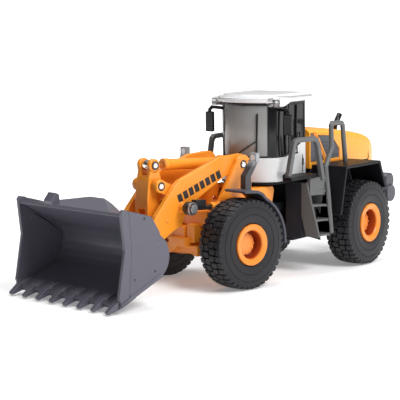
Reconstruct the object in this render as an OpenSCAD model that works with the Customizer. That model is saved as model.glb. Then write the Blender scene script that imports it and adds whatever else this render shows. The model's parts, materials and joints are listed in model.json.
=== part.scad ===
// Toy articulated wheel loader, about 1:50, with a Z-bar bucket linkage.
// X points forwards along the rear frame, Y to the loader's left, Z up; millimetres.
// It stands with its front half turned a little to its right and its bucket tipped.
// Front parts are drawn straight ahead of the steering pin, then turned together.

/* [Stance] */
// Angle that the front half is turned to the loader's right
rest_turn = 11.6; // [0:0.1:20]
// Angle that the bucket's floor dips towards the ground
bucket_dip = 24.5; // [10:0.5:26]

/* [Wheels] */
// Distance from the steering pin to each axle
axle_reach = 37.7; // [36.5:0.1:39]
// Distance between the middles of the left and right tyres
track = 48.4; // [48:0.1:50]
// Tyre radius over the tread
tyre_r = 18.5; // [17.5:0.1:18.8]
// Tyre width
tyre_w = 12.6; // [11:0.1:12.8]
// Radius of the seat between rim and tyre
rim_r = 8.4; // [7.6:0.1:9]
// Radius of the steel axles
axle_r = 1.5; // [1.2:0.1:1.6]

/* [Lift arms] */
// Height of the pin that carries the lift arms
arm_pin_z = 48.8; // [48:0.1:49.5]
// Distance of that pin ahead of the steering pin
arm_pin_x = 25.1; // [24.5:0.1:25.5]
// Outer face of the lift arms from the middle
arm_face_y = 10.5; // [10.3:0.1:10.6]
// Thickness of a lift arm
arm_t = 2.5; // [1.5:0.1:2.6]
// Radius of the linkage pins
pin_r = 1.25; // [1:0.05:1.3]

/* [Bucket] */
// Overall width of the bucket
bucket_w = 64.6; // [60:0.1:65]
// Distance from the bucket's hinge to its tooth tips
tooth_reach = 42.5; // [41:0.1:43]
// Number of teeth
tooth_count = 8; // [6:1:9]
// Thickness of the bucket's walls
bucket_t = 1.3; // [1:0.1:1.6]

/* [Cab] */
// Width of the cab
cab_w = 28; // [27:0.1:28.4]
// Distance of the windscreen's middle ahead of the steering pin
cab_front = 18.5; // [18:0.1:19]
// Height of the cab's roof
cab_top = 76.8; // [76:0.1:78]
// Thickness of the cab's walls
cab_t = 1.2; // [0.9:0.1:1.4]

/* [Hood] */
// Width of the engine hood
hood_w = 27.2; // [26:0.1:27.6]
// Distance of the hood's rear end behind the steering pin
hood_tail = 75; // [74:0.1:76]

/* [Hidden] */
$fn = 64;
fit = 0.05;          // radial clearance of a pin in its bore
side_gap = 0.25;     // clearance between faces that swing past each other
skin = 0.02;         // clearance between parts that are fixed to each other
wheel_y = track / 2;
hub_y = 2;           // how far an axle reaches past the middle of its wheels
rim_proud = 0.3;
wheel_face_y = wheel_y + tyre_w / 2 + rim_proud;
tail_x = -78;        // rearmost point, at the tow hitch

// Front linkage, as points [x, z] ahead of the steering pin
arm_pin = [arm_pin_x, arm_pin_z];
crank_pin = [65.7, 42.7];
crank_top = [66, 50.9];
crank_foot = [68, 28];
bucket_hinge = [75.5, 20];
bucket_lug = [81.5, 28.5];
lift_eye = [57.5, 33.8];
lift_root = [19.5, 32];
cross_tube = [57.3, 38.8];
front_axle = [axle_reach, tyre_r];
rear_axle = [-axle_reach, tyre_r];
lift_y = 15.2;       // middle plane of the left lift cylinder
lift_dir = atan2(lift_eye[1] - lift_root[1], lift_eye[0] - lift_root[0]);
lift_len = norm(lift_eye - lift_root);
tilt_dir = atan2(crank_top[1] - arm_pin[1], crank_top[0] - arm_pin[0]);
tilt_len = norm(crank_top - arm_pin);
arm_inner_y = arm_face_y - arm_t;
tower_y0 = arm_face_y + side_gap;
tower_y1 = tower_y0 + 2.05;
crank_y = 3.85;      // half width of the bellcrank
fork_y = 1.95;       // half width of the slots in the bellcrank
eye_y = 1.7;         // half width of what swings in those slots

// Bucket outline in its own frame: hinge at the origin, floor level
floor_z = -2.3;
back_c = [16.4, 7.4];
back_r = 9.7;
back_end = 144;      // angle where the round back meets the straight top
lip = [21.2, 29.6];
edge_foot = [36.6, 1.4];
plate_y = bucket_w / 2;
tooth_tip_h = 1.3;     // top of a tooth's tip over the floor's underside
tooth_tip_y = 1.05;    // half width of a tooth's tip
tooth_pitch = (bucket_w - 4.6) / (tooth_count - 1);

// Middle of the whole loader, seen from above
turn_c = cos(rest_turn);
turn_s = sin(rest_turn);
dip_c = cos(bucket_dip);
dip_s = sin(bucket_dip);
tip_x = bucket_hinge[0] + tooth_reach * dip_c + (floor_z + tooth_tip_h) * dip_s;
corner_x = bucket_hinge[0] + edge_foot[0] * dip_c + edge_foot[1] * dip_s;
tip_y = tooth_pitch * (tooth_count - 1) / 2 + tooth_tip_y;
nose_x = tip_x * turn_c + tip_y * turn_s;
right_y = -corner_x * turn_s - (plate_y + 0.3) * turn_c;
middle = [(nose_x + tail_x) / 2, (right_y + wheel_face_y) / 2, 0];

// Cab outline: a shallow curved front on straight sides
cab_y = cab_w / 2;
cab_rear = -11;
cab_curve_r = 17.9;
cab_floor_z = 39.2;
cab_floor_t = 1;
sill_z = 50.4;       // foot of the windscreen
header_z = 72.2;     // head of the windscreen
roof_z = 73.4;
deck_z = 41.2;       // underside of the walkways
deck_t = 1.4;
deck_front = 14.2;
rail_r = 1.05;
rail_y = 21.9;
hood_front = -14.6;
hood_sill = 43.4;
hood_y = hood_w / 2;

// ---- Placing -------------------------------------------------------------------

// The rear half, about the middle of the whole loader
module in_rear() {
    translate(-middle) children();
}

// The front half, turned about the steering pin
module in_front() {
    in_rear() rotate([0, 0, -rest_turn]) children();
}

// The bucket, tipped about its hinge
module in_bucket() {
    in_front() translate([bucket_hinge[0], 0, bucket_hinge[1]]) rotate([0, bucket_dip, 0]) children();
}

// A lift cylinder's own line: X along it from its root pin
module on_lift_line() {
    in_front() both_sides() translate([lift_root[0], lift_y, lift_root[1]]) rotate([0, -lift_dir, 0])
        children();
}

// The tilt cylinder's own line: X along it from the arm pin
module on_tilt_line() {
    in_front() translate([arm_pin[0], 0, arm_pin[1]]) rotate([0, -tilt_dir, 0]) children();
}

module both_sides() {
    children();
    mirror([0, 1, 0]) children();
}

// ---- Shapes --------------------------------------------------------------------

// A box between two corners
module box(low, high) {
    translate(low) cube(high - low);
}

// A plate with an outline in X and Z, between two values of Y
module slab(y0, y1) {
    translate([0, y1, 0]) rotate([90, 0, 0]) linear_extrude(y1 - y0) children();
}

// A plate with an outline in Y and Z, between two values of X
module wall(x0, x1) {
    translate([x0, 0, 0]) rotate([90, 0, 90]) linear_extrude(x1 - x0) children();
}

// A round bar along Y through a point [x, z]
module cross_bar(p, r, y0, y1) {
    translate([p[0], y0, p[1]]) rotate([-90, 0, 0]) cylinder(r = r, h = y1 - y0);
}

// A round bar along X through a point [y, z]
module long_bar(p, r, x0, x1) {
    translate([x0, p[0], p[1]]) rotate([0, 90, 0]) cylinder(r = r, h = x1 - x0);
}

// A round bar between two points
module strut(a, b, r) {
    d = b - a;
    translate(a) rotate([0, acos(d[2] / norm(d)), atan2(d[1], d[0])]) cylinder(r = r, h = norm(d));
}

// A bent round rail with ball corners
module bent_rail(points, r) {
    for (i = [0 : len(points) - 2]) strut(points[i], points[i + 1], r);
    for (i = [1 : len(points) - 2]) translate(points[i]) sphere(r + 0.04);
}

// Direction across a corner, long enough to keep a bent strip's width
function unit(v) = v / norm(v);
function across(d) = [-d[1], d[0]];
function mitre(a, b) = let (n = unit(across(a) + across(b))) n / (n * across(a));
function ahead(p, i) = unit(p[min(i + 1, len(p) - 1)] - p[min(i, len(p) - 2)]);
function behind(p, i) = unit(p[max(i, 1)] - p[max(i - 1, 0)]);
function one_side(p, r) = [for (i = [0 : len(p) - 1]) p[i] + r * mitre(behind(p, i), ahead(p, i))];
function other_way(p) = [for (i = [len(p) - 1 : -1 : 0]) p[i]];

// A bent strip along a line of points, drawn in a plane
module flat_rail(points, r) {
    polygon(concat(one_side(points, r), other_way(one_side(points, -r))));
}

// A straight strip of a given width between two points in a plane
module strip(a, b, width) {
    d = b - a;
    translate(a) rotate(atan2(d[1], d[0])) translate([0, -width / 2]) square([norm(d), width]);
}

module disc(p, r) {
    translate(p) circle(r);
}

// The two ends of a pin that shows in a countersunk boss on both sides
module pin_bore(p, face_y) {
    cross_bar(p, pin_r + fit, -face_y - 1, face_y + 1);
    both_sides() cross_bar(p, pin_r + 0.4, face_y - 0.3, face_y + 1);
}

// ---- Wheels --------------------------------------------------------------------

module axle_shaft(at) {
    cross_bar(at, axle_r, -wheel_y - hub_y, wheel_y + hub_y);
}

// Stands a shape that is turned about Z on the left wheel's place, with +Z outwards
module at_left_wheel(at) {
    translate([at[0], wheel_y, at[1]]) rotate([-90, 0, 0]) children();
}

module tyre(at) {
    hw = tyre_w / 2;
    half = [
        [rim_r, hw - 0.7], [rim_r + 0.8, hw], [tyre_r - 4, hw], [tyre_r - 1.6, hw - 0.5],
        [tyre_r - 0.3, hw - 1.4], [tyre_r, hw - 2.4]
    ];
    others = [for (i = [len(half) - 1 : -1 : 0]) [half[i][0], -half[i][1]]];
    at_left_wheel(at) rotate_extrude($fn = 96) polygon(concat(half, others));
}

// Deep-dish rim with a stepped hub and a blind hole for the axle
module rim(at) {
    hw = tyre_w / 2;
    dish_r = rim_r - 2.6;
    at_left_wheel(at) rotate_extrude($fn = 96) polygon([
        [axle_r + skin, -4.6], [3.4, -4.6], [3.4, -2], [rim_r - 1.4, -2], [rim_r - 1.4, 0.4 - hw],
        [rim_r - skin, 0.4 - hw], [rim_r - skin, hw + 0.1], [rim_r - 0.4, hw + rim_proud],
        [dish_r + 0.5, hw - 0.1], [dish_r, hw - 0.6], [dish_r - 0.2, 1.4], [4.4, 1.4], [4.3, 2.5],
        [2.3, 2.5], [2.1, 3.6], [0, 3.6], [0, hub_y + skin], [axle_r + skin, hub_y + skin]
    ]);
}

module rear_axle_shaft() {
    color("silver") in_rear() axle_shaft(rear_axle);
}

module front_axle_shaft() {
    color("silver") in_front() axle_shaft(front_axle);
}

module rear_rims() {
    color("orange") in_rear() both_sides() rim(rear_axle);
}

module front_rims() {
    color("orange") in_front() both_sides() rim(front_axle);
}

module rear_tyre_left() {
    color("dimgray") in_rear() tyre(rear_axle);
}

module rear_tyre_right() {
    color("dimgray") in_rear() mirror([0, 1, 0]) tyre(rear_axle);
}

module front_tyre_left() {
    color("dimgray") in_front() tyre(front_axle);
}

module front_tyre_right() {
    color("dimgray") in_front() mirror([0, 1, 0]) tyre(front_axle);
}

// ---- Rear frame ----------------------------------------------------------------

fork_r = 6;
lug_z = [20.1, 25.9];          // front half's steering lug
fork_low_z = [16.2, 19.9];     // rear half's lower steering plate
fork_high_z = [26.1, 29.8];    // rear half's upper steering plate
rear_screws = [[-16, 0], [-28, 5], [-28, -5], [-60, 0]];
front_screws = [[20, 0], [42, 0]];
screw_r = 1;

module steering_plate(z) {
    translate([0, 0, z[0]]) linear_extrude(z[1] - z[0]) {
        circle(fork_r);
        translate([-12, -fork_r]) square([12, 2 * fork_r]);
    }
}

module rear_chassis() {
    color("#26262a") in_rear() difference() {
        union() {
            steering_plate(fork_low_z);
            steering_plate(fork_high_z);
            box([-68, -8.5, 12.5], [-9, 8.5, 34]);
            box([-16, -12.6, 15], [-9, 12.6, 34]);
            both_sides() box([-16, 9, 15], [-2.2, 17, cab_floor_z - skin]);
            box([-16, -9.5, 33.9], [-9, 9.5, cab_floor_z - skin]);
            box([-66, -13, 34], [-15.9, 13, hood_sill - skin]);
            cross_bar(rear_axle, 4.2, -16.6, 16.6);
            box([-42.5, -12, 17], [-32.9, 12, 23]);
        }
        cross_bar(rear_axle, axle_r + fit, -20, 20);
        cylinder(r = pin_r + 0.5 + fit, h = 40);
        for (p = rear_screws) translate([p[0], p[1], 12]) cylinder(r = screw_r + 0.6, h = 1.3);
        for (p = rear_screws) translate([p[0], p[1], 12]) cylinder(r = screw_r, h = 7);
    }
}

// Pan-head screw with a cross recess, driven upwards
module screw(p, z) {
    translate([p[0], p[1], z]) difference() {
        union() {
            cylinder(r = screw_r + 0.5, h = 0.7);
            cylinder(r = screw_r - skin, h = 6);
        }
        translate([-0.9, -0.15, -0.1]) cube([1.8, 0.3, 0.4]);
        translate([-0.15, -0.9, -0.1]) cube([0.3, 1.8, 0.4]);
    }
}

module rear_chassis_screws() {
    color("silver") in_rear() for (p = rear_screws) screw(p, 12.6);
}

module steering_pin() {
    color("silver") in_rear() translate([0, 0, fork_low_z[0] - 0.9]) {
        cylinder(r = pin_r + 1.3, h = 0.9 - skin);
        cylinder(r = pin_r + 0.5, h = fork_high_z[1] - fork_low_z[0] + 1.2);
    }
}

// ---- Cab -----------------------------------------------------------------------

// Plan of the cab, drawn in by a margin
module cab_plan(inset) {
    intersection() {
        translate([cab_front - cab_curve_r, 0]) circle(cab_curve_r - inset, $fn = 128);
        translate([cab_rear + inset, inset - cab_y]) square([32, cab_w - 2 * inset]);
    }
}

// Hollow wall of the cab between two heights
module cab_ring(z0, z1, inset, t) {
    translate([0, 0, z0]) linear_extrude(z1 - z0) difference() {
        cab_plan(inset);
        cab_plan(inset + t);
    }
}

// Side view of the pale lower shell, with its rising rear sill
module lower_side(lift) {
    polygon([
        [-14, cab_floor_z], [20, cab_floor_z], [20, sill_z + lift], [4.5, sill_z + lift],
        [-3, 53.2 + lift], [-14, 59 + lift]
    ]);
}

// Window holes, each drawn in by a margin
module windscreen_hole(m) {
    box([12, m - 11, sill_z + 0.7 + m], [20, 11 - m, header_z - m]);
}

module side_holes(m) {
    slab(-16, 16) difference() {
        translate([-9.4 + m, sill_z]) square([17.9 - 2 * m, header_z - sill_z - m]);
        lower_side(1 + m);
        translate([1.2 - m, sill_z]) square([1.1 + 2 * m, 30]);
    }
}

module rear_hole(m) {
    box([-13, m - 10.8, 61 + m], [-8, 10.8 - m, header_z - m]);
}

module cab_floor() {
    color("#1c1c1f") in_rear() {
        translate([0, 0, cab_floor_z]) linear_extrude(cab_floor_t) cab_plan(-0.3);
    }
}

module cab_lower_shell() {
    color("white") in_rear() intersection() {
        cab_ring(cab_floor_z + cab_floor_t + skin, 62, 0, cab_t);
        slab(-16, 16) lower_side(0);
    }
}

module cab_frame() {
    color("#151517") in_rear() difference() {
        union() {
            cab_ring(cab_floor_z + cab_floor_t, roof_z - skin, 0.15, cab_t);
            // Header that the roof sits on
            cab_ring(header_z, roof_z - skin, 0.15, cab_t + 1);
        }
        slab(-16, 16) lower_side(skin);
        windscreen_hole(0);
        side_holes(0);
        rear_hole(0);
    }
}

module windscreen() {
    color("gray") in_rear() intersection() {
        cab_ring(sill_z, header_z, 0.4, 0.7);
        windscreen_hole(skin);
    }
}

module side_windows() {
    color("#222226") in_rear() intersection() {
        cab_ring(sill_z, header_z, 0.4, 0.7);
        side_holes(skin);
    }
}

module rear_window() {
    color("#222226") in_rear() intersection() {
        cab_ring(sill_z, header_z, 0.4, 0.7);
        rear_hole(skin);
    }
}

lamp_pod_y = [9.6, 17.2];
lamp_y = [12.9, 15.8];
lamp_z = 73.5;
pod_front = 14.9;
lamp_r = 1.1;

module roof_plan(inset) {
    intersection() {
        translate([cab_front + 0.9 - 21, 0]) circle(21 - inset, $fn = 128);
        translate([-15 + inset, inset - 15.6]) square([36, 31.2 - 2 * inset]);
    }
}

module cab_roof() {
    color("white") in_rear() difference() {
        union() {
            translate([0, 0, roof_z]) linear_extrude(1.7) roof_plan(0);
            translate([0, 0, roof_z + 1.7]) linear_extrude(0.8) roof_plan(0.7);
            translate([0, 0, roof_z + 2.5]) linear_extrude(cab_top - roof_z - 2.5) roof_plan(2.2);
            // Lamp pods on the front corners
            both_sides() slab(lamp_pod_y[0], lamp_pod_y[1]) polygon([
                [pod_front, 71.8], [pod_front - 0.4, 75.2], [pod_front - 3, 75.6], [4.5, 75.3], [4.5, 74],
                [10.4, 71.9]
            ]);
        }
        // Room for the cab's top edge inside the pods
        translate([0, 0, 70]) linear_extrude(roof_z - 70) cab_plan(0);
        both_sides() for (y = lamp_y) long_bar([y, lamp_z], lamp_r, pod_front - 0.6, pod_front + 1);
    }
}

module roof_lamps() {
    color("gainsboro") in_rear() both_sides() for (y = lamp_y) {
        long_bar([y, lamp_z], lamp_r - skin, pod_front - 0.6 + skin, pod_front - 0.2);
    }
}

// Wiper blade and arm standing just proud of the windscreen
module wipers() {
    color("black") in_rear() intersection() {
        cab_ring(sill_z + 1, header_z - 2, -0.35, 0.4);
        union() {
            wall(10, 24) {
                strip([7.2, sill_z + 1.4], [7.6, 69], 0.5);
                strip([7.2, sill_z + 7], [-1.5, sill_z + 1.4], 0.45);
            }
        }
    }
}

module driver_seat() {
    color("#2a2a2e") in_rear() {
        floor_top = cab_floor_z + cab_floor_t + skin;
        box([-7, -2.2, floor_top], [-2, 2.2, 45]);
        box([-8, -3.6, 45], [-0.4, 3.6, 47.6]);
        slab(-3.6, 3.6) polygon([[-8, 47.6], [-5.6, 47.6], [-6.8, 59.6], [-8.6, 59.6]]);
        slab(-1.8, 1.8) polygon([[-8.6, 59.6], [-6.8, 59.6], [-7, 62.6], [-8.7, 62.6]]);
    }
}

module steering_console() {
    color("#202024") in_rear() {
        slab(-1.6, 1.6) polygon([
            [7, cab_floor_z + cab_floor_t + skin], [11.4, cab_floor_z + cab_floor_t + skin], [9.4, 52],
            [7.6, 52]
        ]);
        translate([7.9, 0, 53.2]) rotate([0, -24, 0]) {
            rotate_extrude() translate([3.2, 0]) circle(0.45);
            translate([0, 0, -2]) cylinder(r = 0.8, h = 2.3);
            box([-3.2, -0.4, -0.25], [3.2, 0.4, 0.25]);
        }
    }
}

// Door mirror on a bent arm from the cab's front corner
module door_mirror() {
    bent_rail([[10.9, cab_y + skin, 70.4], [12, 18.9, 70.8], [12.2, 20, 69.6], [12.2, 20, 68]], 0.7);
    box([11.3, 18, 60.2], [13, 21.8, 68.8]);
}

module mirror_left() {
    color("#151517") in_rear() door_mirror();
}

module mirror_right() {
    color("#151517") in_rear() mirror([0, 1, 0]) door_mirror();
}

// ---- Access --------------------------------------------------------------------

module walkway() {
    inner_y = cab_y + 0.4;
    corner_x = 6;
    translate([0, 0, deck_z]) linear_extrude(deck_t) polygon([
        [-7, inner_y], [corner_x, inner_y], [deck_front, 18.2], [deck_front, 22.6], [-7, 22.6]
    ]);
    box([-7, inner_y, cab_floor_z], [-2.4, 17, deck_z]);
    // Toe board along the cut-off inner corner
    translate([0, 0, deck_z]) linear_extrude(deck_t + 1.2) polygon([
        [corner_x, inner_y], [deck_front, 18.2], [deck_front, 19.2], [corner_x - 1.6, inner_y]
    ]);
}

module walkway_left() {
    color("#1c1c1f") in_rear() walkway();
}

module walkway_right() {
    color("#1c1c1f") in_rear() mirror([0, 1, 0]) walkway();
}

step_zs = [16.2, 22.4, 28.6, 34.8];

// Outer edge of the ladder at a height, on its front or its rear side
function ladder_front_y(z) = 19.8 + (39 - z) * 0.272;
function ladder_rear_y(z) = 24.6 + (39 - z) * 0.108;

module ladder() {
    foot_z = 15.8;
    wall(-3, -2) polygon([
        [17 + skin, 39], [17 + skin, 24.5], [19.4, foot_z], [ladder_front_y(foot_z), foot_z],
        [ladder_front_y(39), 39]
    ]);
    wall(-10.2, -9.2) polygon([
        [17 + skin, 39], [17 + skin, 30], [20.4, foot_z], [ladder_rear_y(foot_z), foot_z],
        [ladder_rear_y(39), 39]
    ]);
    for (z = step_zs) translate([0, 0, z]) linear_extrude(0.9) {
        polygon([
            [-2.5, ladder_front_y(z) - 0.3], [-9.7, ladder_rear_y(z) - 0.3], [-9.7, 20.6], [-2.5, 19.5]
        ]);
    }
    // Riser between the side plates and the rail's rear leg
    translate([0, 0, 33.4]) linear_extrude(deck_z - 0.2 - 33.4) {
        polygon([[-2.8, 19.6], [-10, 23], [-10, 24.5], [-2.8, 21.1]]);
    }
    front_rail();
    rear_rail();
}

// Rail beside the cab, from the front of the walkway to the ladder's top riser
module front_rail() {
    line = [
        [deck_front - 0.9, deck_z + deck_t + 0.3], [10.1, 55.2], [9.4, 56.9], [7.8, 57.8],
        [-2.9, 57.7], [-4.5, 56.9], [-5.4, 55.2], [-8.7, 40]
    ];
    // It stands a little askew, its rear leg further out
    translate([2.35, rail_y, 0]) rotate([0, 0, -8.4]) translate([-2.35, 0, 0]) {
        slab(-rail_r, rail_r) flat_rail(line, rail_r - 0.05);
    }
}

// Rail beside the hood, from the ladder to the rear fender
module rear_rail() {
    y = rail_y + 1.6;
    bent_rail([
        [-10.4, 26.9, 16.9], [-11, 25, 34], [-11.4, y, 45], [-16.4, y, 53.4], [-15.9, y, 62.4],
        [-16.8, y, 63.4], [-24.6, y, 62.9], [-25.5, y, 61.8], [-28, y, rear_deck_z[1] + 0.25]
    ], rail_r);
}

module ladder_left() {
    color("#606266") in_rear() ladder();
}

module ladder_right() {
    color("#606266") in_rear() mirror([0, 1, 0]) ladder();
}

// ---- Engine end ----------------------------------------------------------------

rear_deck_z = [43.8, 45];
fender_y1 = 30;

// Side view of the hood, drawn in by a margin
module hood_side(m) {
    polygon([
        [hood_front - m, hood_sill], [hood_front - m, 60.9 - m], [-30, 60.1 - m], [-47, 57.9 - m],
        [-60, 56 - m], [-67, 54.2 - m], [m - hood_tail + 3.6, 52.2 - m], [m - hood_tail + 1.6, 49.4 - m],
        [m - hood_tail, 41], [m - hood_tail, 38.5], [-66.2, 38.5], [-66.2, hood_sill]
    ]);
}

// The hood narrows towards its tail
module hood_solid(m) {
    y = hood_y - m;
    x = m - hood_tail;
    intersection() {
        slab(-20, 20) hood_side(m);
        translate([0, 0, 30]) linear_extrude(40) polygon([
            [-10, y], [-61, y], [-68, y - 0.7], [-73, y - 2], [x - 1, y - 3.6],
            [x - 1, 3.6 - y], [-73, 2 - y], [-68, 0.7 - y], [-61, -y], [-10, -y]
        ]);
    }
}

module grille_outline(m) {
    polygon([
        [-15.4 - m, 46.2 + m], [-15.4 - m, 58.6 - m], [-17.2, 58.6 - m], [-26.4 + m, 46.2 + m]
    ]);
}

module panel_outline(m) {
    polygon([
        [-29.6 - m, 46.4 + m], [-21.8 - m, 57.4 - m], [-33, 56.4 - m], [-39.2 + m, 50.4],
        [-39.2 + m, 46.4 + m]
    ]);
}

module engine_hood() {
    color("#fcc23c") in_rear() difference() {
        hood_solid(0);
        difference() {
            hood_solid(1.2);
            box([-90, -20, 30], [-70, 20, 41]);
        }
        box([-66.2 + skin, -13 - skin, 30], [hood_front + 1, 13 + skin, hood_sill]);
        both_sides() slab(hood_y - 0.6, hood_y + 1) {
            grille_outline(0);
            panel_outline(0);
        }
        strut(exhaust_foot - [0, 0, 4], exhaust_bend, exhaust_r + 0.3);
    }
}

// Sunken fields on the hood's sides: a plain one in front, a louvred one behind
module side_grilles() {
    color("#3a3b40") in_rear() both_sides() slab(hood_y - 0.6 + skin, hood_y - 0.2) grille_outline(skin);
}

module side_panels() {
    color("#34353a") in_rear() both_sides() {
        slab(hood_y - 0.6 + skin, hood_y - 0.25) panel_outline(skin);
        for (z = [48 : 1.9 : 55.5]) intersection() {
            slab(hood_y - 0.3, hood_y) panel_outline(0.5);
            box([-45, 0, z], [-20, 20, z + 0.7]);
        }
    }
}

exhaust_r = 1.1;
exhaust_foot = [-57.5, 0, 53];
exhaust_bend = [-58.4, 0, 58.8];
exhaust_top = [-62.4, 0, 63.4];

module exhaust_pipe() {
    bend_dir = exhaust_top - exhaust_bend;
    color("#1a1a1c") in_rear() difference() {
        union() {
            strut(exhaust_foot, exhaust_bend, exhaust_r);
            strut(exhaust_bend - 0.12 * bend_dir, exhaust_top, exhaust_r + 0.15);
        }
        strut(exhaust_bend + 0.5 * bend_dir, exhaust_top + 0.2 * bend_dir, exhaust_r - 0.25);
    }
}

module rear_fender() {
    box([-47.6, hood_y + skin, rear_deck_z[0]], [-18, fender_y1, rear_deck_z[1]]);
    // Sloping front sheet, down to the ladder's foot
    slab(17.2, fender_y1) polygon([[-19.2, 45], [-18, 45], [-13, 24.6], [-14.3, 24.3]]);
    // Sloping rear sheet
    slab(hood_y + skin, fender_y1) polygon([[-47.6, 45], [-46.2, 43.8], [-51.6, 32.4], [-53, 32.6]]);
    // Foot that ties the sheet to the side box
    box([-17.4, hood_y + skin, 36], [-16 - skin, 19, 45]);
}

module rear_fender_left() {
    color("#1f2026") in_rear() rear_fender();
}

module rear_fender_right() {
    color("#1f2026") in_rear() mirror([0, 1, 0]) rear_fender();
}

hitch_x = -75.9;
hitch_r = 1;
hitch_zs = [24.4, 28.2];       // undersides of the two hitch plates
hitch_t = 1.4;
tail_lamp_ys = [9.6, 14];
tail_lamp_z = 33;

module counterweight() {
    color("#4a4b52") in_rear() difference() {
        union() {
            box([-74.4, -13.5, 21], [-68 - skin, 13.5, 38.4]);
            // Two fat bars a side, one over the other
            both_sides() {
                slab(4.5, 20.6) disc([-72.9, 33], 3.6);
                slab(4.5, 21.6) disc([-72.5, 27.4], 3.9);
            }
            // Tow hitch: two plates that a drop-in pin goes through
            for (z = hitch_zs) translate([hitch_x, 0, z]) linear_extrude(hitch_t) {
                circle(2.1);
                translate([0, -2.1]) square([3, 4.2]);
            }
        }
        translate([hitch_x, 0, 20]) cylinder(r = hitch_r, h = 20);
        // The rear frame's end and the hood fit against the front face
        box([-68, -20, 20], [-60, 20, 45]);
        both_sides() for (y = tail_lamp_ys) long_bar([y, tail_lamp_z], 1, -78, -75.4);
    }
}

module tail_lamps() {
    color("firebrick") in_rear() both_sides() for (y = tail_lamp_ys) {
        long_bar([y, tail_lamp_z], 1 - skin, -76.9, -75.4 - skin);
    }
}

// ---- Front frame ---------------------------------------------------------------

module tower_side() {
    disc(arm_pin, 4);
    polygon([
        [21.1, 48.6], [19.3, 43], [18.9, 39.1], [18.3, 38.6], [8, 38.3], [7.2, 36.6], [9, 28], [12, 25],
        [46, 25], [44, 31], [38.6, 35.2], [28.9, 50.1]
    ]);
}

module front_chassis() {
    color("#f09a35") in_front() difference() {
        union() {
            translate([0, 0, lug_z[0]]) linear_extrude(lug_z[1] - lug_z[0]) {
                circle(fork_r);
                translate([0, -fork_r]) square([10, 2 * fork_r]);
            }
            box([9, -8.6, 12.5], [46, 8.6, 27]);
            box([12, -tower_y1, 25], [46, tower_y1, 31]);
            both_sides() slab(tower_y0, tower_y1) tower_side();
            // Cross wall and rear deck between the tower plates
            box([12, -tower_y1, 31], [14.6, tower_y1, 38]);
            box([8, -tower_y1, 36.6], [16, tower_y1, 38.2]);
            // Axle housing
            cross_bar(front_axle, 4.4, -16.6, 16.6);
            box([32, -13.4, 16.6], [43.4, 13.4, 24.4]);
            // Nose: a stack of stepped blocks between the wheels
            box([44, -5.1, 16.2], [51.2, 5.1, 20]);
            box([44, -3, 19.6], [49.8, 3, 24.4]);
            both_sides() {
                box([44, 3.5, 18.2], [49, 8.3, 25.6]);
                wall(44, 48.6) polygon([[3, 17], [9.6, 17], [9.6, 12.6], [7.6, 12.6], [3, 15.4]]);
            }
        }
        cross_bar(front_axle, axle_r + fit, -20, 20);
        cylinder(r = pin_r + 0.5 + fit, h = 40);
        pin_bore(arm_pin, tower_y1);
        // Rear edges cut away, so the towers pass the walkways when steered
        both_sides() translate([0, 0, 38.4]) linear_extrude(8) {
            polygon([[14, 11.2], [19, 11.2], [21, 12.9], [21, 14], [14, 14]]);
        }
        both_sides() cross_bar(lift_root, pin_r + skin, 9, 14);
        for (p = front_screws) translate([p[0], p[1], 12]) cylinder(r = screw_r + 0.6, h = 1.3);
        for (p = front_screws) translate([p[0], p[1], 12]) cylinder(r = screw_r, h = 7);
    }
}

module front_chassis_screws() {
    color("silver") in_front() for (p = front_screws) screw(p, 12.6);
}

module arm_pivot_pin() {
    color("silver") in_front() cross_bar(arm_pin, pin_r, -tower_y1 - 0.15, tower_y1 + 0.15);
}

module lift_root_pins() {
    color("silver") in_front() both_sides() {
        cross_bar(lift_root, pin_r, tower_y0 + 0.05, 17.3);
    }
}

fender_r = 20.4;
fender_t = 1.1;
fender_end = 29;      // where the round part gives way to the raised flat top

// Side view of a front fender: flat over the tyre, round behind it
module fender_side() {
    intersection() {
        difference() {
            disc(front_axle, fender_r);
            disc(front_axle, fender_r - fender_t);
        }
        union() {
            translate([8, front_axle[1] - 1.5]) square([fender_end - 8, 30]);
        }
    }
    polygon([
        [28.2, 35.5], [27.8, 36.2], [30.6, 38.9], [33, 39.9], [40.4, 40.5], [41, 40], [40.8, 39.4],
        [33.4, 38.8], [31.4, 37.9], [29.2, 35.9]
    ]);
}

module front_fender() {
    slab(17.7, 29.9) fender_side();
    // Lug to the side of the chassis
    box([18.6, tower_y1 + skin, 25.4], [20.8, 18.2, 28.2]);
}

module front_fender_left() {
    color("#4c4d57") in_front() front_fender();
}

module front_fender_right() {
    color("#4c4d57") in_front() mirror([0, 1, 0]) front_fender();
}

lamp_box = [[25.8, 19.1, 50.4], [28, 22.9, 54.2]];
lamp_mid = [21, 52.3];
lamp_face = lamp_box[1][0];

module headlamps() {
    color("#6c6e72") in_front() both_sides() difference() {
        union() {
            // Bracket that leans back and outwards from the fender's top
            intersection() {
                slab(17, 24) polygon([
                    [28.6, 37.05], [30.58, 38.97], [32, 39.56], [31.9, 45], [28.5, 51], [25.8, 51],
                    [28.7, 44.6]
                ]);
                wall(24, 33) polygon([
                    [17.9, 36], [20.9, 36], [20.9, 44.8], [22.5, 51.4], [19.5, 51.4], [17.9, 45.2]
                ]);
            }
            box(lamp_box[0], lamp_box[1]);
        }
        long_bar(lamp_mid, 1.3, lamp_face - 0.6, 30);
    }
}

module headlamp_lenses() {
    color("white") in_front() both_sides() {
        long_bar(lamp_mid, 1.3 - skin, lamp_face - 0.6 + skin, lamp_face + 0.1);
    }
}

// ---- Lift linkage --------------------------------------------------------------

module arm_side() {
    disc(arm_pin, 4.3);
    disc(bucket_hinge, 3);
    polygon([
        [26, 53], [36.3, 52.5], [58.6, 44.8], [61.4, 42.4], [71.4, 31.4], [78.4, 20.8], [74.6, 17.1],
        [64, 23.6], [57.4, 26.8], [54.8, 32.6], [52.8, 34.2], [33.6, 44.3], [24.4, 44.6]
    ]);
}

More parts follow.
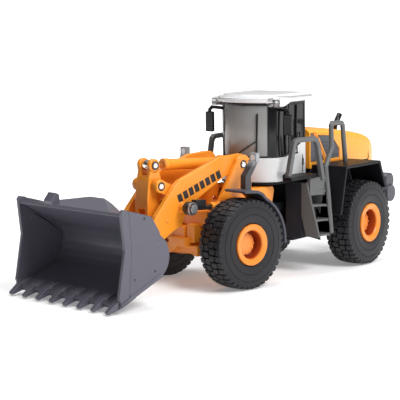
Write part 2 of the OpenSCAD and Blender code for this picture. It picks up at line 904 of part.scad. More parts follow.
module lift_arms() {
    color("#f5a53c") in_front() difference() {
        union() {
            both_sides() slab(arm_inner_y, arm_face_y) arm_side();
            cross_bar(cross_tube, 3, -arm_inner_y, arm_inner_y);
            // Lugs that carry the bellcrank
            both_sides() slab(4.1, 7.6) {
                disc(crank_pin, 2.7);
                polygon([[57.3, 41.8], [65.7, 45.4], [65.7, 40], [58.4, 36]]);
            }
            // Low boss round each lift pin
            both_sides() cross_bar(lift_eye, 2.2, arm_face_y - 1, 13);
        }
        cross_bar(arm_pin, pin_r + fit, -20, 20);
        cross_bar(bucket_hinge, pin_r + fit, -20, 20);
        pin_bore(crank_pin, 7.6);
        both_sides() cross_bar(lift_eye, 0.9 + skin, 9, 14);
    }
}

module bellcrank_pin() {
    color("silver") in_front() cross_bar(crank_pin, pin_r, -7.7, 7.7);
}

// Shouldered pins that stand out from the arms, through the lift cylinders' eyes
module lift_eye_pins() {
    color("silver") in_front() both_sides() {
        cross_bar(lift_eye, 0.9, arm_face_y - 1, 17.4);
        translate([lift_eye[0], 17.2, lift_eye[1]]) rotate([-90, 0, 0]) cylinder(r = 2, h = 0.8, $fn = 6);
    }
}

barrel_len = 27;
barrel_r = 1.9;
lift_rod_r = 0.95;

module lift_barrels() {
    color("#f09a35") on_lift_line() difference() {
        union() {
            rotate([0, 90, 0]) translate([0, 0, 2]) cylinder(r = barrel_r, h = barrel_len - 2);
            rotate([0, 90, 0]) translate([0, 0, barrel_len - 2.4]) cylinder(r = barrel_r + 0.1, h = 2.4);
            cross_bar([0, 0], 2.4, -1.8, 1.8);
        }
        cross_bar([0, 0], pin_r + fit, -5, 5);
        rotate([0, 90, 0]) translate([0, 0, 9]) cylinder(r = lift_rod_r + fit, h = 30);
    }
}

// Rods with large loops round the lift pins, and a clamp block behind each loop
module lift_rods() {
    color("gainsboro") on_lift_line() difference() {
        union() {
            rotate([0, 90, 0]) translate([0, 0, 10]) cylinder(r = lift_rod_r, h = lift_len - 12.2);
            cross_bar([lift_len, 0], 2.7, -1.5, 1.5);
            box([lift_len - 7.4, -1.4, 0.6], [lift_len - 2, 1.5, 3.4]);
        }
        cross_bar([lift_len, 0], 2.05, -5, 5);
    }
}

tilt_barrel_len = 33.4;
tilt_barrel_r = 2.25;
tilt_rod_r = 1.15;

module tilt_barrel() {
    color("#f5a53c") on_tilt_line() difference() {
        union() {
            rotate([0, 90, 0]) translate([0, 0, 1.8]) {
                cylinder(r = tilt_barrel_r, h = tilt_barrel_len - 1.8);
            }
            rotate([0, 90, 0]) translate([0, 0, tilt_barrel_len - 2.6]) {
                cylinder(r = tilt_barrel_r + 0.25, h = 2.6);
            }
            cross_bar([0, 0], 3, -2.4, 2.4);
        }
        cross_bar([0, 0], pin_r + fit, -5, 5);
        rotate([0, 90, 0]) translate([0, 0, 18]) cylinder(r = tilt_rod_r + fit, h = 30);
    }
}

module tilt_rod() {
    color("gainsboro") on_tilt_line() difference() {
        union() {
            rotate([0, 90, 0]) translate([0, 0, 21.5]) cylinder(r = tilt_rod_r, h = tilt_len - 23);
            cross_bar([tilt_len, 0], 2.1, -eye_y, eye_y);
        }
        cross_bar([tilt_len, 0], pin_r, -5, 5);
    }
}

boss_y = crank_y + 0.15;

module bellcrank() {
    color("#f5a53c") in_front() difference() {
        union() {
            slab(-crank_y, crank_y) polygon([
                [64.2, 51.2], [67.8, 51.2], [69.2, 45], [70, 38], [69.9, 28.6], [66.2, 28], [63.9, 33],
                [62.4, 40], [62.4, 45]
            ]);
            cross_bar(crank_top, 2.7, -boss_y, boss_y);
            cross_bar(crank_foot, 2.4, -boss_y, boss_y);
        }
        // Slot for the tilt rod's eye, and slot for the link
        box([55, -fork_y, 46.9], [80, fork_y, 60]);
        box([55, -fork_y, 20], [80, fork_y, 33.4]);
        cross_bar(crank_pin, pin_r + fit, -5, 5);
        cross_bar(crank_foot, pin_r + skin, -5, 5);
        cross_bar(crank_top, pin_r + skin, -5, 5);
    }
}

// Two short pins at the top and one long pin at the foot
module bellcrank_pins() {
    pin_y = boss_y + 0.1;
    color("silver") in_front() {
        both_sides() cross_bar(crank_top, pin_r, fork_y + skin, pin_y);
        cross_bar(crank_foot, pin_r, -pin_y, pin_y);
    }
}

module tilt_link() {
    color("#f5a53c") in_front() difference() {
        slab(-eye_y, eye_y) {
            disc(crank_foot, 2);
            disc(bucket_lug, 2);
            strip(crank_foot, bucket_lug, 2.6);
        }
        cross_bar(crank_foot, pin_r + fit, -5, 5);
        cross_bar(bucket_lug, pin_r, -5, 5);
    }
}

// ---- Bucket --------------------------------------------------------------------

// The link's pivot in the bucket's own frame
lug_d = bucket_lug - bucket_hinge;
lug_own = [lug_d[0] * dip_c - lug_d[1] * dip_s, lug_d[0] * dip_s + lug_d[1] * dip_c];

module back_sector(r) {
    intersection() {
        disc(back_c, r);
        polygon([
            back_c, back_c + [0, -30], back_c + [-30, -30], back_c + [-30, 0],
            back_c + 30 * [cos(back_end), sin(back_end)]
        ]);
    }
}

// Solid cross section out to the shell's outer or inner face
module bucket_section(t) {
    r = back_r - t;
    top = back_c + r * [cos(back_end), sin(back_end)];
    inward = t * [sin(54.5), -cos(54.5)];
    back_sector(r);
    polygon([
        back_c + [0, -r], [edge_foot[0] + 1, floor_z + t], [edge_foot[0] + 1, edge_foot[1] + 3],
        lip + 2 * t * [1, -0.6] + inward, lip + inward, top, back_c
    ]);
}

// Stands a shape on the straight top wall: X along it to the lip, Z outwards
module on_top_wall() {
    translate([lip[0], 0, lip[1]]) rotate([0, -top_dir, 0]) children();
}

peak_h = 8.7;
top_end = back_c + back_r * [cos(back_end), sin(back_end)];
top_dir = atan2(lip[1] - top_end[1], lip[0] - top_end[0]);

module side_plate() {
    // Plate with a stepped rear edge over the shell's round back
    polygon([
        [back_c[0] - 1, floor_z - 0.1], [31.4, floor_z - 0.1], [edge_foot[0], edge_foot[1] - 2.2],
        edge_foot, [lip[0] + 5, lip[1] / 2 + 1.6], [lip[0] + 0.6, lip[1] + 0.6],
        [lip[0] - 0.8, lip[1] + 1.2],
        [12.4, 24.2], [9, 21.2], [8, 14], [8.6, 10.8], back_c
    ]);
    back_sector(back_r);
}

// Wear strip down the front edge of a side plate
module side_strip() {
    polygon([
        [edge_foot[0], edge_foot[1] - 2.2], edge_foot, [lip[0] + 5, lip[1] / 2 + 1.6],
        [lip[0] + 0.6, lip[1] + 0.6], [lip[0] - 0.8, lip[1] + 1.2], [lip[0] - 3, lip[1] - 0.4],
        [lip[0] + 1.4, lip[1] / 2 + 1.6], [edge_foot[0] - 4.6, edge_foot[1] - 2.2]
    ]);
}

// One tooth: an adapter that straddles the cutting edge, and a tapered point
module tooth() {
    slab(-2.5, 2.5) polygon([
        [31.4, floor_z + 1.2], [31.6, floor_z + 2.2], [35.2, floor_z + 2.4], [36.8, floor_z + 1.9],
        [36.8, floor_z + 0.2], [31.4, floor_z + 0.2]
    ]);
    intersection() {
        slab(-2, 2) polygon([
            [33, floor_z - 0.4], [33, floor_z + 2.6], [36, floor_z + 2.7],
            [tooth_reach, floor_z + tooth_tip_h], [tooth_reach, floor_z + 0.2], [36, floor_z - 0.6]
        ]);
        linear_extrude(20, center = true) polygon([
            [30, -1.7], [35, -1.7], [tooth_reach, -tooth_tip_y], [tooth_reach, tooth_tip_y], [35, 1.7],
            [30, 1.7]
        ]);
    }
}

module bucket() {
    inner_y = plate_y - 1.2;
    color("#5a5b66") in_bucket() difference() {
        union() {
            difference() {
                union() {
                    slab(-inner_y - 0.1, inner_y + 0.1) bucket_section(0);
                    // Back lugs for the arms and for the link
                    both_sides() {
                        for (y = [[6.3, 7.8], [10.75, 12.2]]) slab(y[0], y[1]) hinge_lug();
                        slab(fork_y, 3.6) link_lug();
                    }
                    on_top_wall() top_brace();
                }
                slab(-40, 40) bucket_section(bucket_t);
            }
            both_sides() slab(inner_y, plate_y) side_plate();
            both_sides() slab(inner_y, plate_y + 0.3) side_strip();
            // Cutting edge
            slab(-plate_y, plate_y) polygon([
                [29, floor_z - 0.3], [29, floor_z + 1.3], [36.4, floor_z + 1.3], [38, floor_z],
                [36.8, floor_z - 0.3]
            ]);
            for (i = [0 : tooth_count - 1]) {
                translate([0, (i - (tooth_count - 1) / 2) * tooth_pitch, 0]) tooth();
            }
        }
        pin_holes();
        // Shallow dimples in the side plates
        both_sides() for (p = [[12.6, 22.4], [16.6, 1.6], [26.8, 3.8]]) {
            cross_bar(p, 0.45, plate_y - 0.5, plate_y + 1);
        }
    }
}

// Peaked brace across the back's top wall, with a small ear at the lip
module top_brace() {
    intersection() {
        slab(-25, 25) polygon([[-0.8, -0.5], [-11.7, peak_h], [-15, peak_h - 0.7], [-18, -0.5]]);
        wall(-18, 0) polygon([[-24.6, -0.5], [24.6, -0.5], [4.3, peak_h], [-4.3, peak_h]]);
    }
    slab(-14.5, -9.5) polygon([[-4.6, -0.5], [-1.2, 4.6], [0.6, 4.6], [1.4, 0.6], [0, -0.5]]);
}

module hinge_lug() {
    disc([0, 0], 2.6);
    polygon([[-1.6, 2.2], [7.6, 10.4], [9.4, 9], [9.4, 1.6], [10, -0.2], [0, -2.6]]);
}

module link_lug() {
    disc(lug_own, 2.1);
    polygon([lug_own + [-1.6, 1.4], [8.6, 15], [9.4, 13], [9, 4], [7.6, 4.4], lug_own + [-0.6, -2.1]]);
}

module pin_holes() {
    both_sides() cross_bar([0, 0], pin_r + skin, 5, 13);
    both_sides() cross_bar(lug_own, pin_r + skin, 1, 5);
}

// Hinge pins through the arms, and short pins in the link's lugs
module bucket_pins() {
    color("silver") in_bucket() both_sides() {
        cross_bar([0, 0], pin_r, 6.1, 12.4);
        cross_bar(lug_own, pin_r, fork_y + skin, 3.8);
    }
}

// ---- Drawing -------------------------------------------------------------------

rear_chassis();
rear_chassis_screws();
steering_pin();
cab_floor();
cab_lower_shell();
cab_frame();
windscreen();
side_windows();
rear_window();
cab_roof();
roof_lamps();
wipers();
driver_seat();
steering_console();
mirror_left();
mirror_right();
walkway_left();
walkway_right();
ladder_left();
ladder_right();
engine_hood();
side_grilles();
side_panels();
exhaust_pipe();
rear_fender_left();
rear_fender_right();
counterweight();
tail_lamps();
rear_axle_shaft();
rear_rims();
rear_tyre_left();
rear_tyre_right();
front_chassis();
front_chassis_screws();
arm_pivot_pin();
lift_root_pins();
front_fender_left();
front_fender_right();
headlamps();
headlamp_lenses();
front_axle_shaft();
front_rims();
front_tyre_left();
front_tyre_right();
lift_arms();
bellcrank_pin();
lift_eye_pins();
lift_barrels();
lift_rods();
bellcrank();
bellcrank_pins();
tilt_barrel();
tilt_rod();
tilt_link();
bucket();
bucket_pins();
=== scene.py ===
"""Looks of the toy front loader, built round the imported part."""

import json
import math

import bmesh
import bpy
from mathutils import Matrix, Vector


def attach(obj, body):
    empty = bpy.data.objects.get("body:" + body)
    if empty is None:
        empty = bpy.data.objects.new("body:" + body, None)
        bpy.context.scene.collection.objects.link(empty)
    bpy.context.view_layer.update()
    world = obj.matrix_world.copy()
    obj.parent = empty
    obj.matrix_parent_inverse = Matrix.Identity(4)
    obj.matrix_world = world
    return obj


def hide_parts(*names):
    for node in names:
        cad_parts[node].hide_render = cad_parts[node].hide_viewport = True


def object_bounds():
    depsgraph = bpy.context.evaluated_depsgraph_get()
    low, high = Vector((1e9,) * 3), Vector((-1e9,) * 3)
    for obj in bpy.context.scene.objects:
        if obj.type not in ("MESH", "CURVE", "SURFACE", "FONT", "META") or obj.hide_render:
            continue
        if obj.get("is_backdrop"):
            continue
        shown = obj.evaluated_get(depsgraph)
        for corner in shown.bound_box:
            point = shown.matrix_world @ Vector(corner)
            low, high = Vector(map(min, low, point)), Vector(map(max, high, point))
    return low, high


MM = 0.001
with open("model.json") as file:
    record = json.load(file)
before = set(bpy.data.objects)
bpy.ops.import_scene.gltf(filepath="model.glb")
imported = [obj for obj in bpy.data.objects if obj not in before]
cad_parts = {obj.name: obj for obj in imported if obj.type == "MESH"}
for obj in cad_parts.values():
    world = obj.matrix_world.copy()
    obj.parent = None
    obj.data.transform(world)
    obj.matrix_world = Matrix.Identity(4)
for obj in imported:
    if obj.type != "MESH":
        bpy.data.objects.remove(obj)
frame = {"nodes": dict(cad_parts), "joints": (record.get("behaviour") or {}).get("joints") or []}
cad_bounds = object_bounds()
nodes = frame["nodes"]
joints = {j["name"]: j for j in frame["joints"]}

# ---- Places ---------------------------------------------------------------------

steer_at = Vector(joints["steer"]["pos_m"])
LEFT = Vector((0, 1, 0))
UP = Vector((0, 0, 1))
FRONT_LEFT = -Vector(joints["lift"]["axis"]).normalized()


def placing(left, at):
    """Matrix from millimetres ahead, left and up to the row's frame."""
    ahead = left.cross(UP)
    m = Matrix((ahead, left, UP)).transposed().to_4x4()
    return Matrix.Translation(at) @ m @ Matrix.Scale(MM, 4)


ground = Vector((steer_at.x, steer_at.y, 0))
REAR = placing(LEFT, ground)
FRONT = placing(FRONT_LEFT, ground)
MIRROR = Matrix.Diagonal((1, -1, 1, 1))
BUCKET_HINGE = (75.5, 0, 20)
BUCKET_DIP = math.radians(24.5)
BUCKET = FRONT @ Matrix.Translation(BUCKET_HINGE) @ Matrix.Rotation(BUCKET_DIP, 4, "Y")
WHEEL_Y = 24.2
WHEEL_X = 37.7
TYRE_R = 18.5
SIDES = {1: "left", -1: "right"}


def on_side(half, side):
    """Placing of a piece drawn for the left side, on the left or the right."""
    return half if side > 0 else half @ MIRROR


def wheel_place(joint, half, side):
    """Wheel's own placing: Y is the axle, pointing outwards, with Y = 0 in mid-tyre."""
    at = Vector(joints[joint]["pos_m"])
    left = LEFT if half is REAR else FRONT_LEFT
    out = left * side
    middle = at + out * WHEEL_Y * MM
    m = Matrix((out.cross(UP), out, UP)).transposed().to_4x4()
    return Matrix.Translation(middle) @ m @ Matrix.Scale(MM, 4)


# ---- Materials ------------------------------------------------------------------


class Nodes:
    """Adds shader nodes to a material or a world and links them."""

    def __init__(self, owner):
        owner.use_nodes = True
        self.tree = owner.node_tree
        self.link = self.tree.links.new

    def make(self, kind, **values):
        """A node with values for its inputs or, where no input has that name, its settings."""
        n = self.tree.nodes.new(kind)
        for key, value in values.items():
            if key in n.inputs:
                n.inputs[key].default_value = value
            else:
                setattr(n, key, value)
        return n

    def noise(self, where, scale, detail):
        n = self.make("ShaderNodeTexNoise", Scale=scale, Detail=detail)
        self.link(where, n.inputs["Vector"])
        return n.outputs["Fac"]

    def spread(self, value, start=(0.0, 1.0), end=(0.0, 1.0), curve="LINEAR"):
        """A value carried over from one range to another."""
        n = self.make("ShaderNodeMapRange", interpolation_type=curve)
        n.inputs["From Min"].default_value, n.inputs["From Max"].default_value = start
        n.inputs["To Min"].default_value, n.inputs["To Max"].default_value = end
        self.link(value, n.inputs["Value"])
        return n.outputs["Result"]

    def blend(self, factor, first, second):
        """A colour between two, each of which is given as numbers or as an output."""
        n = self.make("ShaderNodeMix", data_type="RGBA")
        self.link(factor, n.inputs["Factor"])
        for socket, colour in ((n.inputs[6], first), (n.inputs[7], second)):
            if isinstance(colour, tuple):
                socket.default_value = colour + (1,)
            else:
                self.link(colour, socket)
        return n.outputs[2]

    def dot(self, vector, axis):
        n = self.make("ShaderNodeVectorMath", operation="DOT_PRODUCT")
        self.link(vector, n.inputs[0])
        n.inputs[1].default_value = axis
        return n.outputs["Value"]


COAT_ROUGH = 0.18
ROUGH_SPREAD = 0.09
BROAD_SCALE = 70.0
CHIP_SCALE = 900.0
CHIP_LEVEL = 0.70
CHIP_EDGE = 0.04
BUMP_DEPTH = 0.06 * MM


def finish(
    name,
    colour,
    rough=0.4,
    metal=0.0,
    coat=0.0,
    grain=1500.0,
    bump=0.15,
    patchy=0.12,
    speck=None,
    specks=0.0,
    shine=0.5,
    fade=None,
):
    """A surface whose tint, gloss and texture all vary a little from place to place.

    speck is the colour of its small chips, and specks widens them. fade gives a plane's point
    and axis, two distances in millimetres and the colour that holds within the first of them,
    on both sides of the plane alike.
    """
    mat = bpy.data.materials.new(name)
    net = Nodes(mat)
    net.tree.nodes.clear()
    make, link = net.make, net.link
    out = make("ShaderNodeOutputMaterial")
    shader = make("ShaderNodeBsdfPrincipled", Metallic=metal)
    shader.inputs["Coat Weight"].default_value = coat
    shader.inputs["Coat Roughness"].default_value = COAT_ROUGH
    shader.inputs["Specular IOR Level"].default_value = shine
    where = make("ShaderNodeTexCoord").outputs["Object"]
    broad = net.noise(where, BROAD_SCALE, 4.0)
    fine = net.noise(where, grain, 3.0)

    darker = tuple(c * (1 - patchy) for c in colour)
    paler = tuple(min(1, c * (1 + patchy) + 0.004) for c in colour)
    shade = net.blend(broad, darker, paler)
    # A colour held in a band round a plane; the rims use it for painted shade in their dish.
    if fade:
        point, axis, low, high, other = fade
        offset = make("ShaderNodeVectorMath", operation="SUBTRACT")
        link(where, offset.inputs[0])
        offset.inputs[1].default_value = point
        away = make("ShaderNodeMath", operation="ABSOLUTE")
        link(net.dot(offset.outputs["Vector"], axis), away.inputs[0])
        near = net.spread(away.outputs["Value"], (low * MM, high * MM))
        shade = net.blend(near, other, shade)
    if speck:
        chips = net.noise(where, CHIP_SCALE, 6.0)
        cut = net.spread(chips, (CHIP_LEVEL - specks, CHIP_LEVEL + CHIP_EDGE - specks))
        shade = net.blend(cut, shade, speck)
    link(shade, shader.inputs["Base Color"])

    gloss = net.spread(
        broad, end=(max(0.03, rough - ROUGH_SPREAD), min(1.0, rough + ROUGH_SPREAD))
    )
    link(gloss, shader.inputs["Roughness"])
    relief = make("ShaderNodeBump", Strength=bump, Distance=BUMP_DEPTH)
    link(fine, relief.inputs["Height"])
    link(relief.outputs["Normal"], shader.inputs["Normal"])
    link(shader.outputs["BSDF"], out.inputs["Surface"])
    return mat


ORANGE = finish("orange_enamel", (0.86, 0.285, 0.018), 0.36, coat=0.18, grain=2400, bump=0.1,
                patchy=0.05, speck=(0.6, 0.19, 0.02), shine=0.4)
HOOD = finish("hood_enamel", (0.90, 0.36, 0.022), 0.36, coat=0.2, grain=2400, bump=0.1,
              patchy=0.04, speck=(0.7, 0.32, 0.03), shine=0.4)
# Paler, yellower copy of the hood enamel for the hood's creases: a painted highlight along their
# ridges.
CREASE_HIGHLIGHT = finish("crease_enamel", (1.0, 0.56, 0.12), 0.4, coat=0.3, grain=2400, bump=0.1,
              patchy=0.03)


def rim_finish(name, joint, axis):
    """Enamel with painted shade down in the wheel's dish, where it turns dark red; the rim's outer
    lip keeps the enamel's own colour.
    """
    # Painted shade: nearer the machine's middle than the first of these depths, the rim is painted
    # dark red.
    painted_shade_depths = (WHEEL_Y + 4.9, WHEEL_Y + 6.1)
    return finish(name, (0.82, 0.24, 0.022), 0.36, coat=0.2, grain=2400, bump=0.12, patchy=0.06,
                  speck=(0.5, 0.14, 0.02), specks=0.01, shine=0.4,
                  fade=(joints[joint]["pos_m"], axis, *painted_shade_depths, (0.30, 0.035, 0.005)))


HUB = finish("hub_enamel", (0.84, 0.27, 0.05), 0.42, coat=0.1, grain=2400, bump=0.12, patchy=0.06,
             speck=(0.5, 0.14, 0.02), specks=0.01, shine=0.4)
REAR_RIM = rim_finish("rear_rim_enamel", "rear_axle_spin", LEFT)
FRONT_RIM = rim_finish("front_rim_enamel", "front_axle_spin", FRONT_LEFT)
SLATE = finish("slate_enamel", (0.086, 0.084, 0.110), 0.4, coat=0.15, grain=1800, bump=0.25,
               patchy=0.08, speck=(0.19, 0.19, 0.22), specks=0.01, shine=0.4)
BLACK = finish("black_plastic", (0.0065, 0.0065, 0.0085), 0.45, grain=1500, bump=0.15, patchy=0.2,
               shine=0.16)
GLOSS_BLACK = finish("gloss_black", (0.004, 0.004, 0.005), 0.16, coat=0.1, grain=900, bump=0.03,
                     patchy=0.2, shine=0.25)
CHASSIS = finish("chassis_plastic", (0.020, 0.0215, 0.028), 0.6, grain=1300, bump=0.3, patchy=0.2,
                 shine=0.15)
FENDER = finish("fender_plastic", (0.042, 0.042, 0.058), 0.4, grain=1500, bump=0.25, patchy=0.1)
GREY = finish("lamp_plastic", (0.30, 0.31, 0.33), 0.42, grain=1500, bump=0.3, patchy=0.08,
              fade=((0, 0, 0), (0, 0, 1), 48.5, 51.0, (0.04, 0.041, 0.046)))
LADDER = finish("ladder_plastic", (0.105, 0.107, 0.108), 0.46, grain=1500, bump=0.3, patchy=0.08,
                shine=0.4)
WHITE = finish("white_plastic", (0.67, 0.67, 0.68), 0.3, coat=0.3, grain=1200, bump=0.06,
               patchy=0.015)
RUBBER = finish("rubber", (0.0095, 0.0095, 0.0125), 0.5, grain=2200, bump=0.5, patchy=0.14,
                speck=(0.03, 0.029, 0.03), shine=0.35)
STEEL = finish("polished_steel", (0.86, 0.85, 0.84), 0.2, metal=1.0, grain=2600, bump=0.1,
               patchy=0.05)
PIN_FACE = finish("pin_face", (0.82, 0.80, 0.78), 0.3, metal=0.35, grain=2600, bump=0.1,
                  patchy=0.05)
DARK_STEEL = finish("dark_steel", (0.30, 0.30, 0.31), 0.32, metal=0.8, grain=2000, bump=0.2,
                    patchy=0.1)
GUNMETAL = finish("gunmetal", (0.05, 0.05, 0.055), 0.3, metal=0.7, grain=2000, bump=0.2,
                  patchy=0.1)
# Mid grey on the windscreen is a painted reflection of the bright surroundings; the side and rear
# panes stay near black.
SCREEN_REFLECTION = finish("windscreen", (0.25, 0.25, 0.247), 0.24, coat=0.4, grain=500, bump=0.03,
                patchy=0.06)
PANE = finish("dark_pane", (0.006, 0.006, 0.007), 0.12, coat=0.12, grain=500, bump=0.03,
              patchy=0.1, shine=0.28)
CLEAR = finish("clear_lens", (0.78, 0.79, 0.8), 0.14, coat=0.7, grain=900, bump=0.1, patchy=0.04)
RED = finish("red_lens", (0.4, 0.012, 0.012), 0.2, coat=0.5, grain=900, bump=0.1, patchy=0.1)
MESH = finish("grille_mesh", (0.03, 0.03, 0.036), 0.5, grain=3500, bump=0.6, patchy=0.1)
WIRE = finish("grille_wire", (0.16, 0.165, 0.19), 0.45, grain=2500, bump=0.3, patchy=0.1)
PANEL = finish("vent_panel", (0.07, 0.073, 0.09), 0.5, grain=2500, bump=0.4, patchy=0.1)
STRIPE = finish("stripe_print", (0.02, 0.018, 0.016), 0.45, grain=1800, bump=0.15, patchy=0.25)

# ---- Meshes ---------------------------------------------------------------------


WELD_GAP = 0.001 * MM
FLAT_ANGLE = math.radians(0.7)


def dress(obj, material):
    obj.data.materials.clear()
    obj.data.materials.append(material)


def solid(name, points, faces, place, sharp=None):
    """An object from points in millimetres, smooth up to the angle `sharp` where that is given."""
    data = bpy.data.meshes.new(name)
    data.from_pydata([place @ Vector(p) for p in points], [], faces)
    edit = bmesh.new()
    edit.from_mesh(data)
    bmesh.ops.recalc_face_normals(edit, faces=edit.faces)
    if sharp:
        for f in edit.faces:
            f.smooth = True
        for e in edit.edges:
            e.smooth = len(e.link_faces) == 2 and e.calc_face_angle() < math.radians(sharp)
    edit.to_mesh(data)
    edit.free()
    obj = bpy.data.objects.new(name, data)
    bpy.context.scene.collection.objects.link(obj)
    return obj


def add_piece(name, points, faces, place, material, body, slot, sharp=35, bevel=0.0):
    """A visible piece that rides on a body."""
    obj = solid(name, points, faces, place, sharp)
    if bevel:
        soften(obj, bevel)
    dress(obj, material)
    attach(obj, body)
    return obj


def soften(obj, width, angle=34):
    """Rounds an object's edges by a width in millimetres."""
    rounded = obj.modifiers.new("bevel", "BEVEL")
    rounded.width = width * MM
    rounded.segments = 2
    rounded.limit_method = "ANGLE"
    rounded.angle_limit = math.radians(angle)
    rounded.use_clamp_overlap = False
    rounded.harden_normals = True


def join_facets(obj):
    """Makes whole faces of a CAD mesh's loose triangles, so that its edges can be rounded."""
    joined = obj.modifiers.new("weld", "WELD")
    joined.merge_threshold = WELD_GAP
    flat = obj.modifiers.new("flat", "DECIMATE")
    flat.decimate_type = "DISSOLVE"
    flat.angle_limit = FLAT_ANGLE


def ring_faces(rows, count):
    """Faces between neighbouring rows of points, each row a closed loop."""
    faces = []
    for r in range(rows - 1):
        for i in range(count):
            a = r * count + i
            b = r * count + (i + 1) % count
            faces.append((a, b, b + count, a + count))
    return faces


def tunnel(rows):
    """Points and faces of a solid through rows of points, closed at both ends."""
    count = len(rows[0])
    points = [p for row in rows for p in row]
    faces = ring_faces(len(rows), count)
    faces.append(tuple(range(count)))
    faces.append(tuple(len(points) - 1 - i for i in range(count)))
    return points, faces


def prism(outline, low, high, axis="y"):
    """Points and faces of an outline drawn out along Y or Z."""
    n = len(outline)

    def lift(p, h):
        return (p[0], h, p[1]) if axis == "y" else (p[0], p[1], h)

    points = [lift(p, low) for p in outline] + [lift(p, high) for p in outline]
    faces = [tuple(range(n)), tuple(range(2 * n - 1, n - 1, -1))]
    faces += [(i, (i + 1) % n, n + (i + 1) % n, n + i) for i in range(n)]
    return points, faces


class Shape:
    """Collects several solids into one mesh."""

    def __init__(self):
        self.points = []
        self.faces = []

    def add(self, points, faces, at=(0, 0)):
        """Adds a solid, moved ahead and up by `at`."""
        start = len(self.points)
        self.points += [(x + at[0], y, z + at[1]) for x, y, z in points]
        self.faces += [tuple(i + start for i in f) for f in faces]

    def box(self, low, high):
        (x0, y0, z0), (x1, y1, z1) = low, high
        outline = [(x0, y0), (x1, y0), (x1, y1), (x0, y1)]
        self.add(*prism(outline, z0, z1, "z"))

    def disc(self, centre, r, low, high, sides):
        outline = [
            (centre[0] + r * math.cos(t), centre[1] + r * math.sin(t))
            for t in (2 * math.pi * i / sides for i in range(sides))
        ]
        self.add(*prism(outline, low, high))

    def piece(self, name, place, material, body, slot, **more):
        return add_piece(name, self.points, self.faces, place, material, body, slot, **more)


def lathe(profile, count, ring=False):
    """Points and faces of a profile (radius, along) turned about Y; a ring's profile is a loop."""
    points = []
    for r, y in profile:
        for i in range(count):
            t = 2 * math.pi * i / count
            points.append((r * math.cos(t), y, r * math.sin(t)))
    faces = ring_faces(len(profile), count)
    if ring:
        last = len(points) - count
        faces += [(i, (i + 1) % count, last + (i + 1) % count, last + i) for i in range(count)]
    return points, faces


def tube(path, r, sides=14, bend=1.6, steps=5):
    """Points and faces of a round rail along a path, whose bends start `bend` from a corner."""
    path = [Vector(p) for p in path]
    line = [path[0]]
    for a, b, c in zip(path, path[1:], path[2:]):
        back, on = (a - b), (c - b)
        reach = min(bend, back.length * 0.45, on.length * 0.45)
        start, end = b + back.normalized() * reach, b + on.normalized() * reach
        for i in range(steps + 1):
            t = i / steps
            line.append(start.lerp(b, t).lerp(b.lerp(end, t), t))
    line.append(path[-1])
    rows = []
    side = None
    for i, p in enumerate(line):
        along = (line[min(i + 1, len(line) - 1)] - line[max(i - 1, 0)]).normalized()
        if side is None:
            side = along.orthogonal().normalized()
        side = (side - along * side.dot(along)).normalized()
        other = along.cross(side)
        turns = [2 * math.pi * k / sides for k in range(sides)]
        rows.append([p + side * r * math.cos(t) + other * r * math.sin(t) for t in turns])
    return tunnel(rows)


# ---- Finishes of the CAD nodes ----------------------------------------------------

# Material and edge radius in millimetres
SOFT_EDGES = {
    "rear_chassis": (CHASSIS, 0.3),
    "rear_chassis_screws": (DARK_STEEL, 0.1),
    "steering_pin": (STEEL, 0.15),
    "cab_floor": (BLACK, 0.25),
    "cab_lower_shell": (WHITE, 0.2),
    "cab_frame": (GLOSS_BLACK, 0.15),
    "windscreen": (SCREEN_REFLECTION, 0.08),
    "side_windows": (PANE, 0.1),
    "rear_window": (PANE, 0.1),
    "cab_roof": (WHITE, 0.45),
    "roof_lamps": (CLEAR, 0.15),
    "wipers": (GLOSS_BLACK, 0.05),
    "driver_seat": (BLACK, 0.5),
    "steering_console": (BLACK, 0.2),
    "mirror_left": (GLOSS_BLACK, 0.35),
    "mirror_right": (GLOSS_BLACK, 0.35),
    "walkway_left": (BLACK, 0.25),
    "walkway_right": (BLACK, 0.25),
    "ladder_left": (LADDER, 0.3),
    "ladder_right": (LADDER, 0.3),
    "side_grilles": (MESH, 0.05),
    "side_panels": (PANEL, 0.1),
    "exhaust_pipe": (GLOSS_BLACK, 0.1),
    "rear_fender_left": (BLACK, 0.35),
    "rear_fender_right": (BLACK, 0.35),
    "counterweight": (FENDER, 0.4),
    "tail_lamps": (RED, 0.2),
    "rear_axle_shaft": (STEEL, 0.2),
    "front_axle_shaft": (STEEL, 0.2),
    "rear_rims": (REAR_RIM, 0.25),
    "front_rims": (FRONT_RIM, 0.25),
    "front_chassis": (ORANGE, 0.3),
    "front_chassis_screws": (DARK_STEEL, 0.1),
    "arm_pivot_pin": (STEEL, 0.2),
    "lift_root_pins": (STEEL, 0.2),
    "front_fender_left": (FENDER, 0.35),
    "front_fender_right": (FENDER, 0.35),
    "headlamps": (GREY, 0.12),
    "headlamp_lenses": (CLEAR, 0.2),
    "lift_arms": (ORANGE, 0.35),
    "bellcrank_pin": (STEEL, 0.2),
    "lift_eye_pins": (DARK_STEEL, 0.2),
    "lift_barrels": (ORANGE, 0.25),
    "lift_rods": (GUNMETAL, 0.15),
    "bellcrank": (ORANGE, 0.35),
    "bellcrank_pins": (STEEL, 0.2),
    "tilt_barrel": (ORANGE, 0.25),
    "tilt_rod": (STEEL, 0.15),
    "tilt_link": (ORANGE, 0.25),
    "bucket": (SLATE, 0.25),
    "bucket_pins": (STEEL, 0.2),
}
for name, (material, width) in SOFT_EDGES.items():
    dress(nodes[name], material)
    join_facets(nodes[name])
    soften(nodes[name], width)

# ---- Tyres ----------------------------------------------------------------------

PITCHES = 40
TYRE_SIDES = 144
BLOCK_FOOT = 16.8
SHOULDER_FOOT = 16.4
CROWN_DROP = 0.42
CROWN_REACH = 5.6

